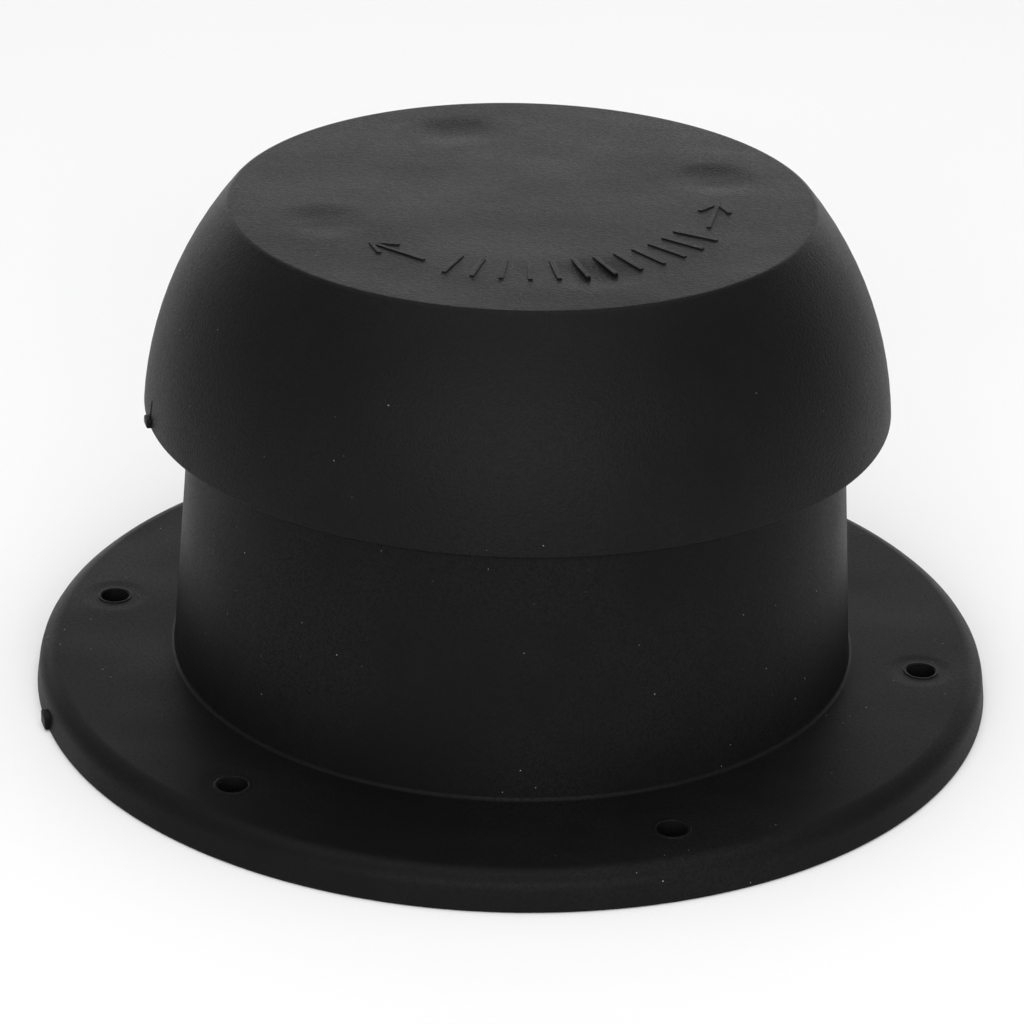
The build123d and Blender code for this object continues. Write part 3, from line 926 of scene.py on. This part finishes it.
def foam(name):
    """Closed-cell foam: dark grey with small open pores."""
    material, tree, shader, place = new_material(name)
    cells = tree.nodes.new("ShaderNodeTexVoronoi")
    cells.inputs["Scale"].default_value = 2200
    tree.links.new(place, cells.inputs["Vector"])
    pores = ramp_node(tree, cells.outputs["Distance"], 0.1, 0.55)
    flow = placed_group(tree, FLOW, place, Patch_Scale=60.0)
    worn = mixed_colour(tree, flow.outputs["Value"], (0.022, 0.022, 0.024), (0.05, 0.05, 0.052))
    porous = mixed_colour(tree, pores, (0.006, 0.006, 0.007), worn)
    tree.links.new(porous, shader.inputs["Base Color"])
    roughness = math_node(tree, "MULTIPLY_ADD", flow.outputs["Value"], 0.1, 0.82)
    tree.links.new(roughness, shader.inputs["Roughness"])
    tree.links.new(bump(tree, pores, 0.25), shader.inputs["Normal"])
    shader.inputs["Specular IOR Level"].default_value = 0.3
    return material


def drawn_metal(name, bright, dull, direction, roughness):
    """Drawn or plated steel: fine lines along one direction, and dull patches."""
    material, tree, shader, place = new_material(name)
    stretch = tree.nodes.new("ShaderNodeMapping")
    stretch.inputs["Scale"].default_value = direction
    tree.links.new(place, stretch.inputs["Vector"])
    lines = noise_node(tree, stretch.outputs["Vector"], 2600.0, 3.0, 0.6)
    flow = placed_group(tree, FLOW, place, Patch_Scale=190.0)
    patches = ramp_node(tree, flow.outputs["Value"], 0.4, 0.62)
    tree.links.new(mixed_colour(tree, patches, bright, dull), shader.inputs["Base Color"])
    shader.inputs["Metallic"].default_value = 1.0
    rough = math_node(tree, "MULTIPLY_ADD", patches, 0.16, roughness)
    tree.links.new(math_node(tree, "MULTIPLY_ADD", lines, 0.12, rough), shader.inputs["Roughness"])
    tree.links.new(bump(tree, lines, 0.02), shader.inputs["Normal"])
    return material


def pale_floor():
    """Matt white studio floor, very slightly uneven."""
    material, tree, shader, place = new_material("studio_floor")
    flow = placed_group(tree, FLOW, place, Patch_Scale=3.0)
    tree.links.new(
        mixed_colour(tree, flow.outputs["Value"], (0.88, 0.88, 0.88), (0.92, 0.92, 0.92)),
        shader.inputs["Base Color"],
    )
    shader.inputs["Roughness"].default_value = 0.9
    shader.inputs["Specular IOR Level"].default_value = 0.1
    return material


# ---------------------------------------------------------------- the object
base_plastic = black_plastic(
    "base_black_plastic",
    dark=(0.0056, 0.0057, 0.0060),
    pale=(0.0080, 0.0081, 0.0085),
    grain_depth=0.014,
    gloss=0.060,
    dust_share=0.4,
    dish_depth=0.09,
)
cap_plastic = black_plastic(
    "cap_black_plastic",
    dark=(0.0032, 0.0033, 0.0036),
    pale=(0.0050, 0.0051, 0.0055),
    grain_depth=0.12,
    gloss=0.103,
    dust_share=0.2,
    dish_depth=0.0,
)
foam_black = foam("gasket_foam_black")
pin_steel = drawn_metal(
    "pin_stainless",
    bright=(0.56, 0.55, 0.53),
    dull=(0.4, 0.39, 0.37),
    direction=(0.03, 1, 1),
    roughness=0.24,
)
wire_steel = drawn_metal(
    "spring_wire_steel",
    bright=(0.5, 0.5, 0.49),
    dull=(0.33, 0.32, 0.31),
    direction=(1, 1, 0.1),
    roughness=0.22,
)
zinc = drawn_metal(
    "zinc_plate",
    bright=(0.62, 0.63, 0.64),
    dull=(0.45, 0.46, 0.48),
    direction=(1, 1, 0.3),
    roughness=0.28,
)

base = make_base()
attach(base, "base")
dressed(base, base_plastic, "base_moulding")

beads = make_beads()
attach(beads, "base")
dressed(beads, base_plastic)

cap = make_cap()
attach(cap, "cap")
dressed(cap, cap_plastic, "cap_moulding")

marks = make_marks()
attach(marks, "cap")
dressed(marks, cap_plastic)

gasket = make_gasket()
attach(gasket, "base")
dressed(gasket, foam_black, "flange_gasket")

crossbar = make_crossbar()
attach(crossbar, "base")
dressed(crossbar, pin_steel, "spring_crossbar")

spring = make_spring()
dressed(spring, wire_steel, "tether_spring")
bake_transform(spring)

screw = make_screw()
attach(screw, "cap")
dressed(screw, zinc, "spring_screw")

washer = make_washer()
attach(washer, "cap")
dressed(washer, zinc, "spring_washer")


# ---------------------------------------------------------------- floor, light and camera
def make_floor():
    """A wide pale floor that the vent stands on."""
    bpy.ops.object.select_all(action="DESELECT")
    bpy.ops.mesh.primitive_plane_add(size=12, location=(0, 0, 0))
    floor = new_piece("studio_floor")
    floor.data.materials.append(pale_floor())


def softbox(name, place, target, width, height, power):
    """A soft rectangular light aimed at a point."""
    light = bpy.data.lights.new(name, "AREA")
    light.shape = "RECTANGLE"
    light.size, light.size_y, light.energy = width, height, power
    lamp = bpy.data.objects.new(name, light)
    bpy.context.scene.collection.objects.link(lamp)
    lamp.location = place
    lamp.rotation_euler = (Vector(target) - Vector(place)).to_track_quat("-Z", "Y").to_euler()


make_floor()
softbox("overhead_box", (0, -0.15, 1.1), (0, 0, 0), 1.3, 1.2, 8.3)
softbox("back_box", (0, 1.9, 0.31), (0, 0, 0.06), 3.0, 0.58, 12.6)
softbox("front_box", (0, -2.2, 0.8), (0, 0, 0.05), 2.8, 1.0, 38.0)

world = bpy.data.worlds.new("studio")
bpy.context.scene.world = world
world.use_nodes = True
world.node_tree.nodes["Background"].inputs["Color"].default_value = (1, 1, 1, 1)
world.node_tree.nodes["Background"].inputs["Strength"].default_value = 0.45
bpy.context.scene.view_settings.view_transform = "Standard"

# the camera looks down on the vent from in front, rolled a little
ELEVATION = math.radians(25.42)
ROLL = math.radians(1.42)
DISTANCE = 0.5623
AIM = Vector((-0.00045, 0, 0.0266))
view = bpy.data.cameras.new("camera")
view.sensor_width = 36
view.lens = 129.0
camera = bpy.data.objects.new("camera", view)
bpy.context.scene.collection.objects.link(camera)
back = Vector((0, -math.cos(ELEVATION), math.sin(ELEVATION)))
turn = Matrix.Rotation(math.pi / 2 - ELEVATION, 4, "X") @ Matrix.Rotation(ROLL, 4, "Z")
camera.matrix_world = Matrix.Translation(AIM + back * DISTANCE) @ turn
bpy.context.scene.camera = camera
